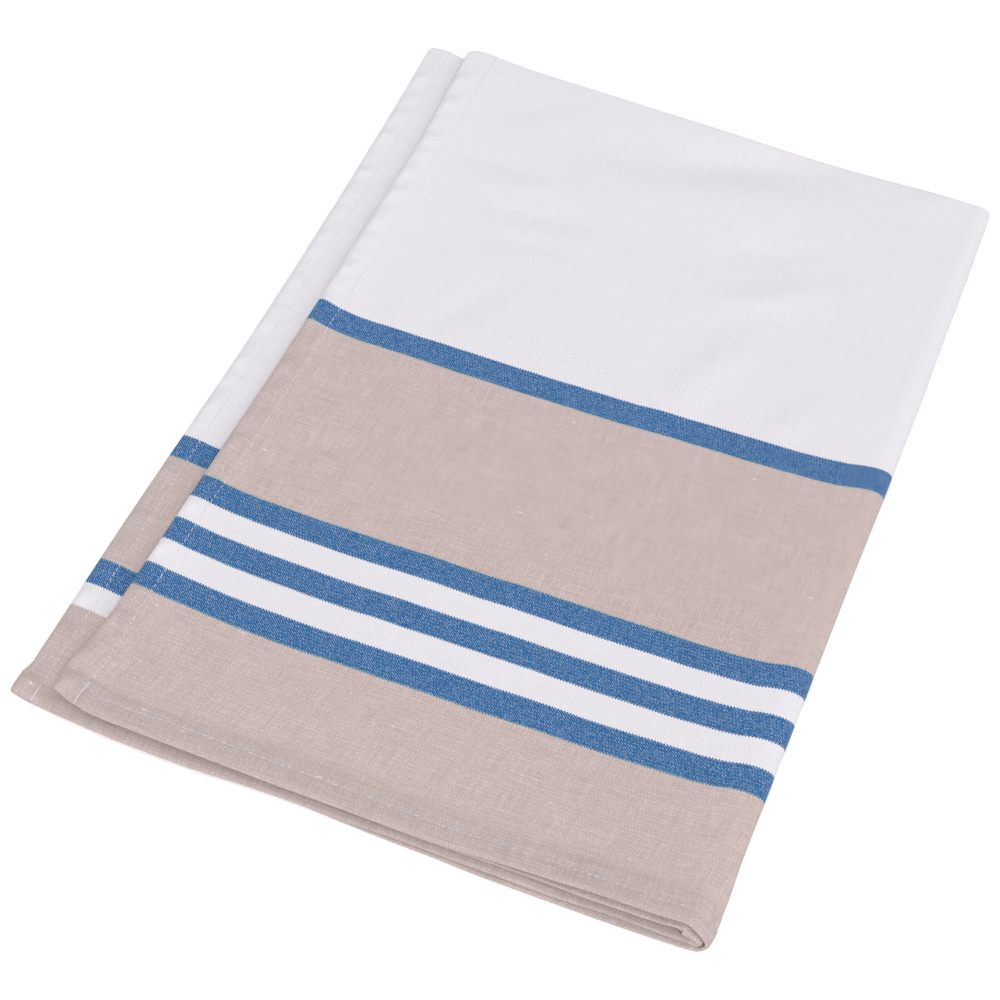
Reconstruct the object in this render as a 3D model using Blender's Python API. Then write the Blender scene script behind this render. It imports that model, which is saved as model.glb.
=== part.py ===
"""Tea towel: one rectangle of striped cotton twill with sewn hems, folded in four.

The cloth is folded end to end first, so the far edge is a fold, and then side to side, so the right
edge is a fold of two layers. It is one sheet, and from the top its four layers are:

    top      the outer end on the upper half, its right side up
    second   the inner end on the upper half
    third    the inner end on the lower half, seen along the left as a narrow strip
    bottom   the outer end on the lower half, flat on the table

The sheet is worked out in two bends. The first takes the cloth round the far fold and gives each
point a depth y and a height in the pair of layers. The second takes that pair round the right fold.
The tables are in millimetres from the front left corner of the folded towel, with X to the right, Y
to the far edge and Z up. The solid is in metres, about the middle of its underside.
"""
import bmesh
import bpy
import numpy as np

MM = 0.001

# The cloth, in mm. Two layers lie PLY_GAP apart, so the folded sheet never touches itself.
CLOTH_THICK = 1.0
HEM_THICK = 1.35
PLY_GAP = 0.4
END_HEM = 9.5
SIDE_HEM = 8.5
HEM_STEP = 1.5
HEM_ROUNDING = 0.3

# A layer's hem holds its neighbours off a little past its own width, in mm.
HEM_APRON = 3.5

# The middle of the folded towel, measured from its front left corner.
CENTRE_X = 125.5
CENTRE_Y = 176.8

# The right fold in section: a low nose, round below and drawn out above, behind a swell.
NOSE_LOW_RADIUS = 2.0
NOSE_TIP_RADIUS = 1.9
NOSE_REACH = 9.0
SWELL_FROM = 172.0
SWELL_TO = 242.0

LAYERS = ("top", "second", "third", "bottom")

# The front hem edge of each layer: x across the towel, then the edge's y on each layer.
FRONT_COLUMNS = ("x",) + LAYERS
FRONT_EDGES = (
    (0, 7.0, 8.0, 0.6, 1.6),
    (5, 6.6, 7.6, -0.4, 0.4),
    (14, 5.4, 6.6, -1.2, -0.4),
    (24, 2.2, 4.4, -1.8, -0.8),
    (40, 1.2, 3.0, -2.5, -1.0),
    (58, 0.7, 2.6, -2.5, -0.6),
    (92, 0.7, 2.6, -1.0, 0.2),
    (110, 0.9, 2.6, -0.5, 0.4),
    (125, 1.1, 2.4, -0.4, 0.4),
    (158, 1.7, 2.1, -0.6, -0.4),
    (182, 2.0, 1.6, -0.3, -0.8),
    (200, 2.6, 2.0, 0.2, -0.4),
    (213, 3.8, 2.8, 0.8, 0.0),
    (231, 4.6, 3.2, 1.5, 0.1),
    (242, 4.8, 3.2, 1.9, 0.6),
    (251, 3.2, 3.0, 2.6, 2.4),
)

# The left edge of each layer: y along the towel, then the edge's x on each layer.
LEFT_COLUMNS = ("y",) + LAYERS
LEFT_EDGES = (
    (0, 14.2, 15.4, 0.6, 1.8),
    (10, 13.9, 15.2, 0.7, 1.8),
    (20, 15.4, 16.6, 1.3, 2.4),
    (37, 17.7, 18.8, 1.4, 2.5),
    (60, 18.9, 20.0, 1.4, 2.5),
    (91, 19.7, 20.8, 1.7, 2.8),
    (128, 20.3, 21.4, 2.4, 3.4),
    (188, 21.3, 22.3, 3.2, 4.2),
    (242, 21.4, 22.3, 2.8, 3.7),
    (286, 21.3, 22.1, 2.0, 2.8),
    (319, 20.1, 20.8, 1.2, 1.9),
    (352, 18.1, 18.6, 0.0, 0.5),
)

# The far fold's outermost y on the upper and on the lower half.
FAR_COLUMNS = ("x", "upper", "lower")
FAR_FOLD = (
    (0, 352.0, 352.6),
    (3, 352.2, 353.9),
    (8, 352.4, 354.1),
    (18, 352.8, 352.6),
    (21, 354.6, 352.4),
    (26, 355.3, 352.2),
    (45, 354.3, 351.6),
    (70, 353.3, 351.0),
    (124, 350.7, 350.0),
    (177, 348.9, 348.8),
    (215, 348.1, 348.1),
    (251, 347.6, 347.6),
)

# The right fold's outermost x, and how far its swell lifts the upper half.
RIGHT_COLUMNS = ("y", "x", "swell")
RIGHT_FOLD = (
    (0, 249.7, 4.5),
    (12, 251.0, 4.2),
    (40, 250.3, 3.0),
    (100, 250.4, 2.4),
    (150, 250.4, 2.2),
    (212, 250.8, 2.2),
    (275, 250.3, 2.0),
    (349, 249.4, 1.5),
)

# Places where the upper half stands a little off the lower one: middle, reach each way and height.
LIFT_COLUMNS = ("x", "y", "reach_x", "reach_y", "rise")
LIFTS = (
    (20, 350, 24, 60, 1.0),
    (16, 12, 14, 14, 0.4),
    (75, 60, 40, 30, 0.35),
    (120, 215, 60, 45, 0.4),
    (185, 300, 45, 40, 0.35),
    (150, 110, 50, 35, 0.25),
)

# How many steps the grid takes over each stretch.
UPPER_STEPS = 15
LOWER_STEPS = 9
RIGHT_FOLD_STEPS = 12
END_STEPS = 12
FAR_FOLD_STEPS = 8


def column(table, columns, name):
    """One named column of a table, as an array."""
    return np.array(table, float)[:, columns.index(name)]


def read(table, columns, name, at):
    """A column's value at a place along the table's first column, straight between its rows."""
    return np.interp(at, column(table, columns, columns[0]), column(table, columns, name))


def of_layers(values, upper, outer):
    """Blend four layers' values: upper is 1 on the upper half, outer is 1 on the outer end."""
    inner = 1 - outer
    lower = 1 - upper
    return (
        values["top"] * upper * outer
        + values["second"] * upper * inner
        + values["third"] * lower * inner
        + values["bottom"] * lower * outer
    )


def smooth(t):
    """0 below 0, 1 above 1, and level at both ends in between."""
    t = np.clip(t, 0, 1)
    return t * t * (3 - 2 * t)


def front_edges(x):
    """Each layer's front edge at x."""
    return {layer: read(FRONT_EDGES, FRONT_COLUMNS, layer, x) for layer in LAYERS}


def left_edges(y):
    """Each layer's left edge at y."""
    return {layer: read(LEFT_EDGES, LEFT_COLUMNS, layer, y) for layer in LAYERS}


def layer_thickness(x, y, apron=0):
    """Each layer's thickness over the place x, y: a hem's near its edge, else the cloth's.

    With an apron this is the room that a layer takes up in the stack.
    """
    front = front_edges(x)
    left = left_edges(y)
    thick = {}
    for layer in LAYERS:
        end_hem = 1 - smooth((y - front[layer] - END_HEM - apron) / HEM_STEP)
        side_hem = 1 - smooth((x - left[layer] - SIDE_HEM - apron) / HEM_STEP)
        thick[layer] = CLOTH_THICK + (HEM_THICK - CLOTH_THICK) * np.maximum(end_hem, side_hem)
    return thick


def upper_rise(x, y):
    """How far the upper half is lifted off the lower one by the fold's swell and the lifts."""
    swell = read(RIGHT_FOLD, RIGHT_COLUMNS, "swell", y)
    rise = swell * smooth((x - SWELL_FROM) / (SWELL_TO - SWELL_FROM))
    for row in LIFTS:
        place = dict(zip(LIFT_COLUMNS, row))
        off_x = (x - place["x"]) / place["reach_x"]
        off_y = (y - place["y"]) / place["reach_y"]
        rise = rise + place["rise"] * np.exp(-(off_x ** 2) - off_y ** 2)
    return rise


def sheet_point(turn, across, bend, along, face):
    """A point of the folded sheet, in metres.

    turn is the angle round the right fold, 0 on the upper half and pi on the lower one. across runs
    from 0 at the left edge to 1 at the right fold. bend is the angle round the far fold, 0 on the
    outer end and pi on the inner one. along runs from 0 at the hem to 1 at the far fold. face is 1 on
    the side that is outermost round the far fold, -1 on the other and 0 in the middle.
    """
    upper = (1 + np.cos(turn)) / 2
    outer = (1 + np.cos(bend)) / 2
    over = turn <= np.pi / 2
    far_radius = (CLOTH_THICK + PLY_GAP) / 2
    x = np.full_like(turn * bend, CENTRE_X)
    y = np.full_like(turn * bend, 2 * CENTRE_Y) * along
    for _ in range(3):
        # x and y depend a little on each other, so both are settled together.
        thick = of_layers(layer_thickness(x, y), upper, outer)
        far = read(FAR_FOLD, FAR_COLUMNS, "upper", x) * upper
        far = far + read(FAR_FOLD, FAR_COLUMNS, "lower", x) * (1 - upper)
        front = of_layers(front_edges(x), upper, outer)
        y = front + along * (far - thick / 2 - far_radius - front)

        room = layer_thickness(x, y, HEM_APRON)
        floor_to_pair = (layer_thickness(x, y)["bottom"] + room["bottom"] + PLY_GAP) / 2
        between = room["second"] + room["third"] + 2 * PLY_GAP + upper_rise(x, y)
        above = between - NOSE_LOW_RADIUS
        reach = np.where(over, np.minimum(above ** 2 / NOSE_TIP_RADIUS, NOSE_REACH), NOSE_LOW_RADIUS)
        nose = read(RIGHT_FOLD, RIGHT_COLUMNS, "x", y) - floor_to_pair
        left = of_layers(left_edges(y), upper, outer)
        x = left + across * (nose - reach - left)

    # First bend: where the point lies in its pair of layers.
    thick = of_layers(layer_thickness(x, y), upper, outer)
    off_middle = (of_layers(room, upper, outer) + PLY_GAP + face * thick) / 2
    height = off_middle * np.cos(bend)
    y = y + (far_radius + face * thick / 2) * np.sin(bend)

    # Second bend: the pair goes round the right fold's section.
    drop = np.where(over, above, NOSE_LOW_RADIUS)
    pair_x = x + reach * np.sin(turn)
    pair_z = floor_to_pair + NOSE_LOW_RADIUS + drop * np.cos(turn)
    normal_x = np.sin(turn) / reach
    normal_z = np.cos(turn) / drop
    scale = height / np.hypot(normal_x, normal_z)
    point = np.stack([pair_x + normal_x * scale, y, pair_z + normal_z * scale], axis=-1)

    # A hem's rim is round: its two faces stop a little short of its middle.
    set_back = np.abs(face) * HEM_ROUNDING * thick
    point[..., 0] += set_back * (across == 0)
    point[..., 1] += set_back * (along == 0)
    return (point - [CENTRE_X, CENTRE_Y, 0]) * MM


def stretch(hem, length, steps):
    """Places along a stretch of cloth, as fractions: over its hem, past it, then even steps."""
    hem_places = np.array([0, hem / 2, hem, hem + HEM_STEP, hem + 2 * HEM_APRON]) / length
    return np.concatenate([hem_places, np.linspace(hem_places[-1], 1, steps + 1)[1:]])


def there_and_back(first, fold_steps, second):
    """Grid lines along one stretch, round a fold and back along the other: places and angles."""
    places = np.concatenate([first, np.ones(fold_steps - 1), second[::-1]])
    angles = np.concatenate([
        np.zeros(len(first)),
        np.linspace(0, np.pi, fold_steps + 1)[1:-1],
        np.full(len(second), np.pi),
    ])
    return places, angles


def towel_mesh():
    """The folded sheet as one closed mesh: two faces and a round rim between them."""
    span = 2 * CENTRE_X
    across, turn = there_and_back(
        stretch(SIDE_HEM, span, UPPER_STEPS), RIGHT_FOLD_STEPS, stretch(SIDE_HEM, span, LOWER_STEPS)
    )
    end = stretch(END_HEM, 2 * CENTRE_Y, END_STEPS)
    along, bend = there_and_back(end, FAR_FOLD_STEPS, end)
    wide, long = len(across), len(along)
    grid = [turn[:, None], across[:, None], bend[None, :], along[None, :]]
    grid = [np.broadcast_to(values, (wide, long)) for values in grid]
    index = np.arange(wide * long).reshape(wide, long)

    # Once round the cloth's four edges, corner to corner.
    round_edge = np.concatenate([index[:-1, 0], index[-1, :-1], index[:0:-1, -1], index[0, :0:-1]])
    rim_grid = [values.ravel()[round_edge] for values in grid]
    outside = sheet_point(*grid, np.ones((wide, long))).reshape(-1, 3)
    inside = sheet_point(*grid, -np.ones((wide, long))).reshape(-1, 3)
    rim = sheet_point(*rim_grid, np.zeros(len(round_edge)))

    quads = np.stack([index[:-1, :-1], index[1:, :-1], index[1:, 1:], index[:-1, 1:]], axis=-1)
    quads = quads.reshape(-1, 4)
    inside_quads = quads[:, ::-1] + wide * long
    rim_index = np.arange(len(round_edge)) + 2 * wide * long
    next_edge = np.roll(round_edge, -1)
    next_rim = np.roll(rim_index, -1)
    upper_rim = np.stack([next_edge, round_edge, rim_index, next_rim], axis=-1)
    lower_rim = np.stack(
        [next_rim, rim_index, round_edge + wide * long, next_edge + wide * long], axis=-1
    )
    faces = np.concatenate([quads, inside_quads, upper_rim, lower_rim])

    mesh = bpy.data.meshes.new("towel")
    mesh.from_pydata(np.concatenate([outside, inside, rim]).tolist(), [], faces.tolist())
    shaped = bmesh.new()
    shaped.from_mesh(mesh)
    bmesh.ops.recalc_face_normals(shaped, faces=shaped.faces)
    shaped.to_mesh(mesh)
    shaped.free()
    mesh.shade_smooth()
    mesh.set_sharp_from_angle(angle=np.radians(50))
    return mesh


def cotton_twill():
    """Cotton twill in its main colour, the warm grey of the wide bands."""
    material = bpy.data.materials.new("cotton twill")
    material.use_nodes = True
    shader = material.node_tree.nodes["Principled BSDF"]
    shader.inputs["Base Color"].default_value = (0.58, 0.46, 0.45, 1)
    shader.inputs["Roughness"].default_value = 0.9
    shader.inputs["Metallic"].default_value = 0.0
    return material


for old in list(bpy.data.objects):
    bpy.data.objects.remove(old, do_unlink=True)

towel = bpy.data.objects.new("towel", towel_mesh())
towel.data.materials.append(cotton_twill())
bpy.context.scene.collection.objects.link(towel)
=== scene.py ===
"""Tea towel of yarn-dyed cotton twill, hemmed all round, folded in four and laid on a pale table.

The tables are in millimetres from the front left corner of the folded towel: X to the right, Y to the
far edge, Z up. Meshes are in metres about the middle of the towel's underside, as the frame has them.
"""

import bpy
import numpy as np
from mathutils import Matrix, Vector


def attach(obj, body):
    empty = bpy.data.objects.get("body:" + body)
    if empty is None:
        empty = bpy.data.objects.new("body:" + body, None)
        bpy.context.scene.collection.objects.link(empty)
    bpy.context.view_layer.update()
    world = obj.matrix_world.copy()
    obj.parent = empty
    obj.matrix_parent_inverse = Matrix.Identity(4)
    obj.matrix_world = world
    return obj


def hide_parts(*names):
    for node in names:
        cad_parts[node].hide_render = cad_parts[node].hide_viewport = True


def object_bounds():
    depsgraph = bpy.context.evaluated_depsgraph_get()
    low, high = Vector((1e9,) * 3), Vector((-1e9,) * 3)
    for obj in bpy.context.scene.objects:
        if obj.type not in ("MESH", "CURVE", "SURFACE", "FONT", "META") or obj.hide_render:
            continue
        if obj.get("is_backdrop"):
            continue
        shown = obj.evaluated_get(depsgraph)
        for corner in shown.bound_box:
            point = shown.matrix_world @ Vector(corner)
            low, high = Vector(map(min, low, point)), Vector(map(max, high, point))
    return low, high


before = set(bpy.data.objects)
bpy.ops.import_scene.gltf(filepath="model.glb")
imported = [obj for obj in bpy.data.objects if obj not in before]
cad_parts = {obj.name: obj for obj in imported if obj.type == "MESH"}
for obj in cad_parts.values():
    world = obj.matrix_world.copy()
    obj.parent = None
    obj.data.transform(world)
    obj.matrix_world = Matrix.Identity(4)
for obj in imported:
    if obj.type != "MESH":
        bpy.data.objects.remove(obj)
cad_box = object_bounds()


# ----------------------------------------
# Camera: a short telephoto lens in front of the towel and a little to its right, looking down at it.
# Its aim and distance are in the towel's own millimetres, like every table further down.
MM = 0.001

# The middle of the folded towel, measured from its front left corner.
CENTRE_X = 125.5
CENTRE_Y = 176.8

CAMERA_AIM = (121.7, 141.3, 0.0)
CAMERA_DISTANCE = 764.0
CAMERA_TURN = 22.78
CAMERA_HEIGHT_ANGLE = 53.28
CAMERA_LENS = 75.49
SENSOR = 36.0


def placed(points):
    """Points in mm from the towel's front left corner, in metres about its middle."""
    return (np.asarray(points, float) - [CENTRE_X, CENTRE_Y, 0]) * MM


def add_object(name, data):
    """A new object with that data, linked into the scene."""
    added = bpy.data.objects.new(name, data)
    bpy.context.scene.collection.objects.link(added)
    return added


turn, rise = np.radians([CAMERA_TURN, CAMERA_HEIGHT_ANGLE])
to_camera = np.array([np.sin(turn) * np.cos(rise), -np.cos(turn) * np.cos(rise), np.sin(rise)])
camera = add_object("camera", bpy.data.cameras.new("camera"))
camera.data.lens = CAMERA_LENS
camera.data.sensor_width = SENSOR
camera.location = placed(np.array(CAMERA_AIM) + CAMERA_DISTANCE * to_camera)
camera.rotation_euler = Vector(-to_camera).to_track_quat("-Z", "Y").to_euler()
bpy.context.scene.camera = camera
bpy.context.scene.view_settings.view_transform = "Standard"


# ----------------------------------------
# Floor and light: a pale matt table under a studio dome that is brightest overhead and a little to the
# front, with one large soft lamp high in front. The two give the creases their light and dark sides.
FLOOR_SIZE = 8.0
FLOOR_DROP = 0.0002
FLOOR_WHITE = "#F4F4F4"
FLOOR_ROUGHNESS = 0.9

# The dome's light grows from DOME_DIM to DOME_BRIGHT with the cosine of the angle to its bright way.
DOME_BRIGHT_WAY = (0.22, -0.34, 0.915)
DOME_DIM_COSINE = -0.2
DOME_DIM = 0.22
DOME_BRIGHT = 1.37

# The lamp's place in metres, its size in metres and its power in watts.
LAMP_FROM = (1.5, -2.35, 4.05)
LAMP_SIZE = 1.8
LAMP_POWER = 113.0


def colour(hex_code):
    """An sRGB hex code as linear red, green, blue and alpha."""
    srgb = np.array([int(hex_code[i:i + 2], 16) for i in (1, 3, 5)]) / 255
    linear = np.where(srgb <= 0.04045, srgb / 12.92, ((srgb + 0.055) / 1.055) ** 2.4)
    return (*linear.tolist(), 1.0)


def find_socket(sockets, name):
    """The socket of that number, or the first one in use of that name, or None."""
    if isinstance(name, int):
        return sockets[name]
    return next((socket for socket in sockets if socket.enabled and socket.name == name), None)


def add_node(tree, kind, settings=None, links=None):
    """A node with its settings and links. A setting is a socket's value or else an attribute. A link
    comes from a socket, or from the first output in use of a node."""
    node = tree.nodes.new("ShaderNode" + kind)
    for name, value in (settings or {}).items():
        socket = find_socket(node.inputs, name)
        if socket is None:
            setattr(node, name, value)
        else:
            socket.default_value = value
    for name, source in (links or {}).items():
        if isinstance(source, bpy.types.Node):
            source = next(socket for socket in source.outputs if socket.enabled)
        tree.links.new(source, find_socket(node.inputs, name))
    return node


def new_material(name, surface):
    """A material whose shader has these values, with its node tree and that shader."""
    material = bpy.data.materials.new(name)
    material.use_nodes = True
    shader = material.node_tree.nodes["Principled BSDF"]
    for setting, value in surface.items():
        shader.inputs[setting].default_value = value
    return material, material.node_tree, shader


floor_mesh = bpy.data.meshes.new("floor")
reach = FLOOR_SIZE / 2
corners = [(-reach, -reach), (reach, -reach), (reach, reach), (-reach, reach)]
floor_mesh.from_pydata([(x, y, -FLOOR_DROP) for x, y in corners], [], [(0, 1, 2, 3)])
floor = add_object("floor", floor_mesh)

# Matt white paint: it takes the towel's soft shadow and has no shine.
floor_surface = {"Base Color": colour(FLOOR_WHITE), "Roughness": FLOOR_ROUGHNESS}
floor_mesh.materials.append(new_material("matt white table", floor_surface)[0])
floor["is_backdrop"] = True

world = bpy.data.worlds.new("studio")
world.use_nodes = True
sky = world.node_tree
way = add_node(sky, "TexCoord")
toward = add_node(
    sky, "VectorMath", {"operation": "DOT_PRODUCT", 1: DOME_BRIGHT_WAY}, {0: way.outputs["Generated"]}
)
dome = add_node(
    sky, "MapRange",
    {"From Min": DOME_DIM_COSINE, "From Max": 1.0, "To Min": DOME_DIM, "To Max": DOME_BRIGHT},
    {"Value": toward},
)
sky.nodes["Background"].inputs["Color"].default_value = (1, 1, 1, 1)
sky.links.new(dome.outputs["Result"], sky.nodes["Background"].inputs["Strength"])
bpy.context.scene.world = world

lamp = add_object("soft lamp", bpy.data.lights.new("soft lamp", "AREA"))
lamp.data.shape = "DISK"
lamp.data.size = LAMP_SIZE
lamp.data.energy = LAMP_POWER
lamp.location = LAMP_FROM
lamp.rotation_euler = (-Vector(LAMP_FROM)).to_track_quat("-Z", "Y").to_euler()


# ----------------------------------------
# The towel: one rectangle of cotton twill, its four edges turned in twice and sewn. It is folded end
# to end, which makes the far edge, and then side to side, which makes the right edge.

# The whole cloth laid flat, in metres: the way over it, through its layers and round its folds.
FLAT_WIDTH = 0.480
FLAT_LENGTH = 0.700

# Thicknesses, and the air between two layers. A hem is thicker, and thins to the cloth over HEM_STEP.
# The layers above and below keep a hem's room for HEM_APRON more.
CLOTH_THICK = 1.0
HEM_THICK = 1.35
PLY_GAP = 0.4
END_HEM = 9.5
SIDE_HEM = 8.5
HEM_STEP = 1.5
HEM_APRON = 3.5

# The right fold in section: a low nose, round below and drawn out above, behind a swell.
NOSE_LOW_RADIUS = 2.0
NOSE_TIP_RADIUS = 1.4
NOSE_REACH = 9.0
SWELL_FROM = 172.0
SWELL_TO = 242.0

# At the front the end hem makes the nose stiff: its wraps run nearly straight down to the tip, and the
# inner one's plies bulge and close it from x = BULGE_FROM on. Both fade out along the fold.
STIFF_TO = 12.0
STIFF_FADE = 26.0
STIFF_REACH = 7.0
OUTER_STRAIGHTNESS = 0.76
INNER_STRAIGHTNESS = 0.95
BULGE_FROM = 239.8
BULGE_LONG = 2.2
BULGE_SHARE = 0.95

# From the top: the outer end, the inner end, the inner end again (it shows along the left) and the
# outer end again.
LAYERS = ("top", "second", "third", "bottom")

# The front hem edge of each layer: x across the towel, then the edge's y on each layer.
FRONT_EDGES = (
    ("x",) + LAYERS,
    (0, 7.4, 8.0, 0.6, 1.6),
    (5, 7.0, 7.6, -0.4, 0.4),
    (14, 5.4, 6.6, -1.2, -0.4),
    (25, 2.1, 4.4, -1.8, -0.8),
    (33, 0.9, 3.4, -2.2, -0.9),
    (42, 0.7, 3.0, -2.5, -1.0),
    (58, 0.7, 2.6, -2.5, -0.6),
    (92, 0.7, 2.6, -1.0, 0.2),
    (110, 0.9, 2.6, -0.5, 0.2),
    (125, 1.1, 2.4, -0.3, -0.2),
    (143, 1.3, 2.4, 0.2, -0.4),
    (158, 1.6, 2.6, 0.4, -0.4),
    (171, 2.5, 3.0, 0.5, -0.7),
    (186, 3.3, 3.2, 0.7, -0.5),
    (200, 3.6, 2.9, 0.9, -0.3),
    (213, 3.9, 2.5, 1.8, 0.0),
    (226, 3.8, 2.5, 2.2, 0.4),
    (234, 3.9, 2.7, 2.2, 0.8),
    (242, 4.4, 3.3, 2.5, 1.2),
    (251, 3.4, 3.3, 3.0, 2.6),
)

# The left edge of each layer: y along the towel, then the edge's x on each layer.
LEFT_EDGES = (
    ("y",) + LAYERS,
    (0, 15.5, 16.4, 0.5, 1.8),
    (3, 15.4, 16.3, 0.1, 1.6),
    (8.5, 14.9, 15.8, 0.1, 1.6),
    (13, 14.8, 15.7, 0.9, 2.0),
    (20, 15.3, 16.4, 1.3, 2.4),
    (27, 16.6, 17.7, 1.4, 2.5),
    (37, 17.8, 18.8, 1.4, 2.5),
    (60, 18.9, 20.0, 1.4, 2.5),
    (91, 19.7, 20.8, 1.7, 2.8),
    (128, 20.3, 21.4, 2.4, 3.4),
    (188, 21.3, 22.3, 3.2, 4.2),
    (242, 21.4, 22.3, 2.8, 3.7),
    (286, 21.3, 22.1, 2.0, 2.8),
    (319, 20.1, 20.8, 1.2, 1.9),
    (352, 18.1, 18.6, 0.0, 0.5),
)

# The far fold's outermost y on the upper and on the lower half.
FAR_FOLD = (
    ("x", "upper", "lower"),
    (0, 352.0, 352.6),
    (3, 352.2, 353.9),
    (8, 352.4, 354.1),
    (18, 352.8, 352.6),
    (21, 354.6, 352.4),
    (26, 355.3, 352.2),
    (45, 354.3, 351.6),
    (70, 353.3, 351.0),
    (124, 350.7, 350.0),
    (177, 348.9, 348.8),
    (215, 348.1, 348.1),
    (251, 347.6, 347.6),
)

# The right fold's outermost x, and how far its swell lifts the upper half.
RIGHT_FOLD = (
    ("y", "x", "swell"),
    (0, 249.2, 4.5),
    (12, 251.0, 4.2),
    (40, 250.3, 3.0),
    (100, 250.4, 2.4),
    (150, 250.4, 2.2),
    (212, 250.8, 2.2),
    (275, 250.3, 2.0),
    (349, 249.4, 1.5),
)

# Places where the upper half stands a little off the lower one: middle, reach each way and height.
LIFTS = (
    ("x", "y", "reach_x", "reach_y", "rise"),
    (20, 350, 24, 60, 1.0),
    (16, 12, 14, 14, 0.9),
    (17, 80, 12, 60, 1.7),
    (21, 215, 12, 90, 1.6),
    (75, 60, 40, 30, 0.35),
    (120, 215, 60, 45, 0.4),
    (185, 300, 45, 40, 0.35),
    (150, 110, 50, 35, 0.25),
    (140, 322, 75, 22, 1.2),
)

# Soft creases of the top layer: middle, half length, half width, direction in degrees from X, and
# height, where a trough is below 0.
CREASES = (
    ("x", "y", "long", "wide", "turn", "rise"),
    (145, 331, 42, 10.5, 19, -2.20),
    (96, 324, 22, 11, 25, -0.90),
    (135, 350, 75, 11, -3, 1.00),
    (226, 342, 12, 8, 20, 0.70),
    (52, 297, 14, 3.5, 3, -0.40),
    (70, 288, 20, 4.5, 14, 0.60),
    (82, 275, 20, 4.5, 8, -0.65),
    (80, 258, 26, 3, 8, -0.45),
    (50, 248, 16, 2.5, 6, -0.25),
    (183, 268, 24, 7, 30, 1.10),
    (172, 290, 22, 8, 26, -0.65),
    (173, 224, 26, 8, 68, 1.10),
    (76, 222, 20, 5.5, 60, -0.60),
    (210, 212, 12, 6, 60, 0.60),
    (58, 332, 13, 3, 38, -0.40),
    (249, 313, 9, 6, 90, 0.50),
    (249, 294, 6, 5, 90, 0.40),
    (249, 247, 7, 5, 95, 0.50),
    (56, 136, 14, 3, 14, -0.60),
    (43, 148, 8, 3, 30, 0.45),
    (22, 15, 6, 2, -4, -0.50),
    (24, 32, 6, 2.5, -6, -0.35),
    (24, 43, 7, 2.5, -12, -0.45),
    (38, 34, 12, 4, -32, -0.55),
    (32, 6, 4.5, 1.6, -55, -0.35),
    (39, 5, 3.5, 1.2, -65, -0.25),
    (64, 26, 9, 6, -60, 0.50),
    (166, 158, 16, 6, 70, 0.45),
    (105, 150, 18, 5, 5, 0.35),
    (115, 176, 16, 5, 3, 0.35),
    (62, 180, 10, 5, 20, 0.35),
    (240, 165, 20, 6, 80, 0.35),
)

# Where the side hems swell between their stitches, as y along the towel.
TOP_PUFFS = (
    8, 21, 27, 38, 49, 60, 71, 80, 91, 101, 112, 122, 134, 150, 163, 176, 188, 198, 208, 217, 226, 234,
    244, 250, 262, 276, 286, 296, 307, 318, 333,
)
THIRD_PUFFS = (
    5, 27, 34, 44, 55, 66, 80, 92, 104, 115, 128, 136, 142, 152, 161, 168, 182, 189, 197, 206, 215, 224,
    232, 240, 247, 255, 261, 271, 281, 294, 307, 318, 331,
)

# A puff is a bell PUFF_RISE high and PUFF_LONG long each way. It leans PUFF_SLANT along for each mm in
# from the edge, rises over PUFF_START and fades from PUFF_END on. From one puff to the next its height
# and length swing by these shares, in steps that don't repeat.
PUFF_RISE = 1.05
PUFF_LONG = 2.7
PUFF_SLANT = 0.25
PUFF_START = 2.5
PUFF_END = 4.5
PUFF_FADE = 4.5
RISE_SWING = 0.35
RISE_STEP = 2.4
LONG_SWING = 2 / 9
LONG_STEP = 1.7

# A trough of the top layer presses the second one down with it, by this share of its depth.
PRESSED_SHARE = 0.83


def column(table, name):
    """One column of a table whose first row holds the columns' names, as an array."""
    return np.array(table[1:], float)[:, table[0].index(name)]


def read(table, name, at):
    """A column's value along the table's first column: a cubic through the rows. Its slope at a row is
    the harmonic mean of the slopes on either side, and level at a peak, so it never overshoots."""
    places = column(table, table[0][0])
    values = column(table, name)
    rises = np.diff(values) / np.diff(places)
    before, after = np.append(rises[:1], rises), np.append(rises, rises[-1:])
    same_way = before * after > 0
    slopes = np.where(same_way, 2 * before * after / np.where(same_way, before + after, 1), 0)
    row = np.clip(np.searchsorted(places, at) - 1, 0, len(places) - 2)
    step = places[row + 1] - places[row]
    t = np.clip((at - places[row]) / step, 0, 1)
    start = values[row] + slopes[row] * step * t
    end = values[row + 1] - slopes[row + 1] * step * (1 - t)
    blend = t * t * (3 - 2 * t)
    return start * (1 - blend) + end * blend


def of_layers(values, upper, outer):
    """Blend four layers' values: upper is 1 on the upper half, outer is 1 on the outer end."""
    inner = 1 - outer
    lower = 1 - upper
    return (
        values["top"] * upper * outer
        + values["second"] * upper * inner
        + values["third"] * lower * inner
        + values["bottom"] * lower * outer
    )


def smooth(t):
    """0 below 0, 1 above 1, and level at both ends in between."""
    t = np.clip(t, 0, 1)
    return t * t * (3 - 2 * t)


def bell(t):
    """1 at 0, falling away evenly on both sides: e to the power of minus t squared."""
    return np.exp(-(t ** 2))


def front_edges(x):
    """Each layer's front edge at x."""
    return {layer: read(FRONT_EDGES, layer, x) for layer in LAYERS}


def left_edges(y):
    """Each layer's left edge at y."""
    return {layer: read(LEFT_EDGES, layer, y) for layer in LAYERS}


def layer_thickness(front, left, x, y, apron=0):
    """Each layer's thickness at x, y: a hem's near its edge, else the cloth's. With an apron it is the
    room that the layer takes up in the stack."""
    thick = {}
    for layer in LAYERS:
        end_hem = 1 - smooth((y - front[layer] - END_HEM - apron) / HEM_STEP)
        side_hem = 1 - smooth((x - left[layer] - SIDE_HEM - apron) / HEM_STEP)
        thick[layer] = CLOTH_THICK + (HEM_THICK - CLOTH_THICK) * np.maximum(end_hem, side_hem)
    return thick


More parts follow.
